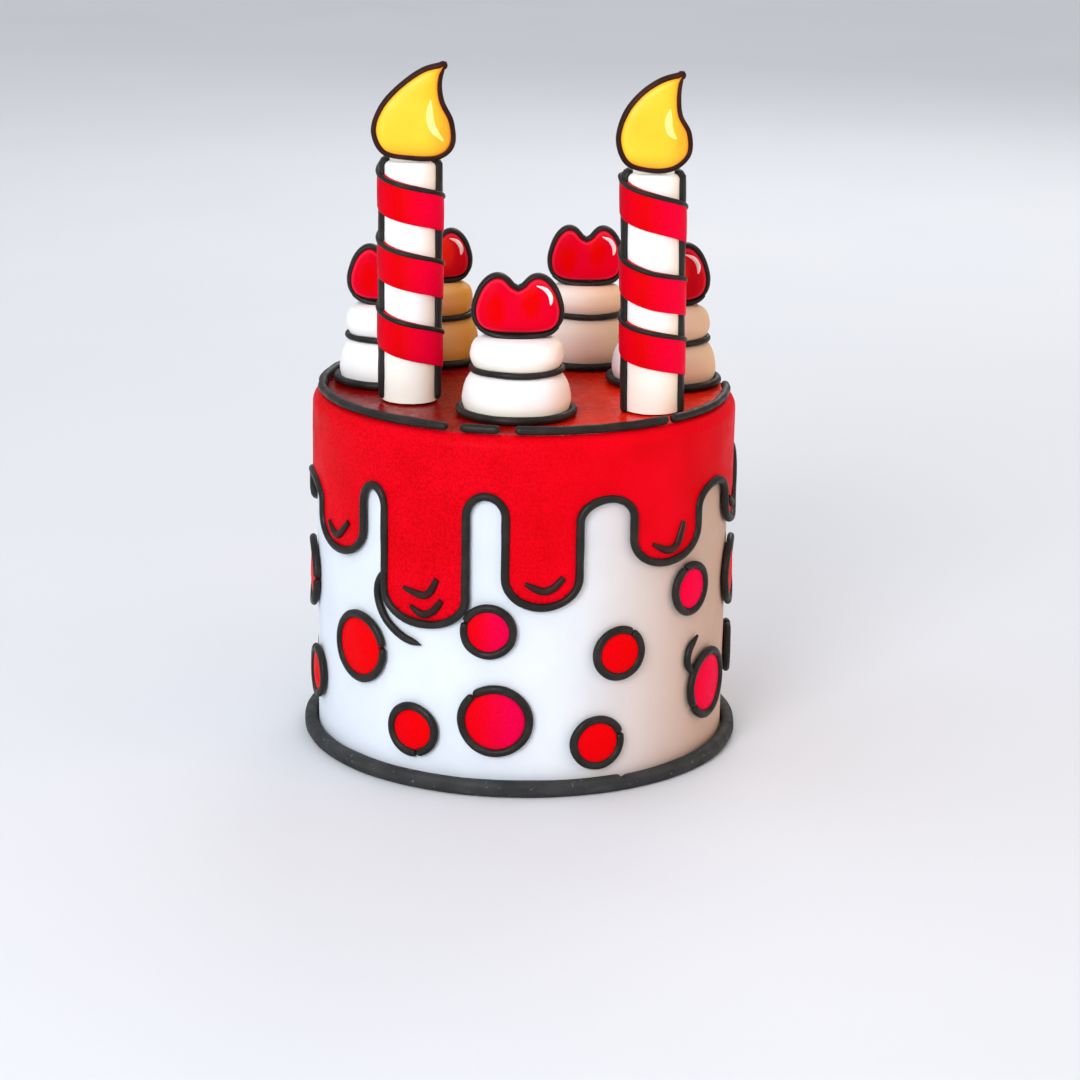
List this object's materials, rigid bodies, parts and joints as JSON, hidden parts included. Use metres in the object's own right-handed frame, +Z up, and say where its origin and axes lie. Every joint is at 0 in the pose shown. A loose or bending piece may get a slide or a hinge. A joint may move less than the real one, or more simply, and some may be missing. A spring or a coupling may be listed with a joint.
{
  "type": "red velvet cake",
  "caption": "Round iced celebration cake, white with red icing dripping over the top, black rope outlines, dots round the side, and dollops and candles on top.",
  "frame": {"origin": "middle of the cake's flat underside", "axes": "+Z up through the middle of the cake, -Y towards the front, +X to the right seen from the front"},
  "size_m": [0.1718, 0.1716, 0.266],
  "materials": {
    "white_icing": "satin icing",
    "red_icing": "satin icing",
    "black_icing": "satin rolled icing rope",
    "base_rope": "matt rolled icing rope",
    "yellow_icing": "satin icing"
  },
  "bodies": {
    "root": {"base_rope": "base_rope", "cake": "white_icing", "candle_left": "white_icing", "candle_left_flame": "yellow_icing", "candle_left_ribbon": "red_icing", "candle_right": "white_icing", "candle_right_flame": "yellow_icing", "candle_right_ribbon": "red_icing", "dollop_back_left_base_rope": "black_icing", "dollop_back_left_cherry": "red_icing", "dollop_back_left_lower": "white_icing", "dollop_back_left_middle_rope": "black_icing", "dollop_back_left_upper": "white_icing", "dollop_back_right_base_rope": "black_icing", "dollop_back_right_cherry": "red_icing", "dollop_back_right_lower": "white_icing", "dollop_back_right_middle_rope": "black_icing", "dollop_back_right_upper": "white_icing", "dollop_front_base_rope": "black_icing", "dollop_front_cherry": "red_icing", "dollop_front_lower": "white_icing", "dollop_front_middle_rope": "black_icing", "dollop_front_upper": "white_icing", "dollop_left_base_rope": "black_icing", "dollop_left_cherry": "red_icing", "dollop_left_lower": "white_icing", "dollop_left_middle_rope": "black_icing", "dollop_left_upper": "white_icing", "dollop_right_base_rope": "black_icing", "dollop_right_cherry": "red_icing", "dollop_right_lower": "white_icing", "dollop_right_middle_rope": "black_icing", "dollop_right_upper": "white_icing", "dot_01": "red_icing", "dot_02": "red_icing", "dot_03": "red_icing", "dot_04": "red_icing", "dot_05": "red_icing", "dot_06": "red_icing", "dot_07": "red_icing", "dot_08": "red_icing", "dot_09": "red_icing", "dot_10": "red_icing", "dot_11": "red_icing", "dot_12": "red_icing", "dot_13": "red_icing", "dot_14": "red_icing", "dot_15": "red_icing", "dot_16": "red_icing", "dot_17": "red_icing", "dot_18": "red_icing", "dot_19": "red_icing", "dot_20": "red_icing", "drip_outline": "black_icing", "red_icing": "red_icing", "rim_rope_1": "black_icing", "rim_rope_2": "black_icing", "rim_rope_3": "black_icing", "rim_rope_4": "black_icing", "rim_rope_5": "black_icing"}
  },
  "joints": []
}
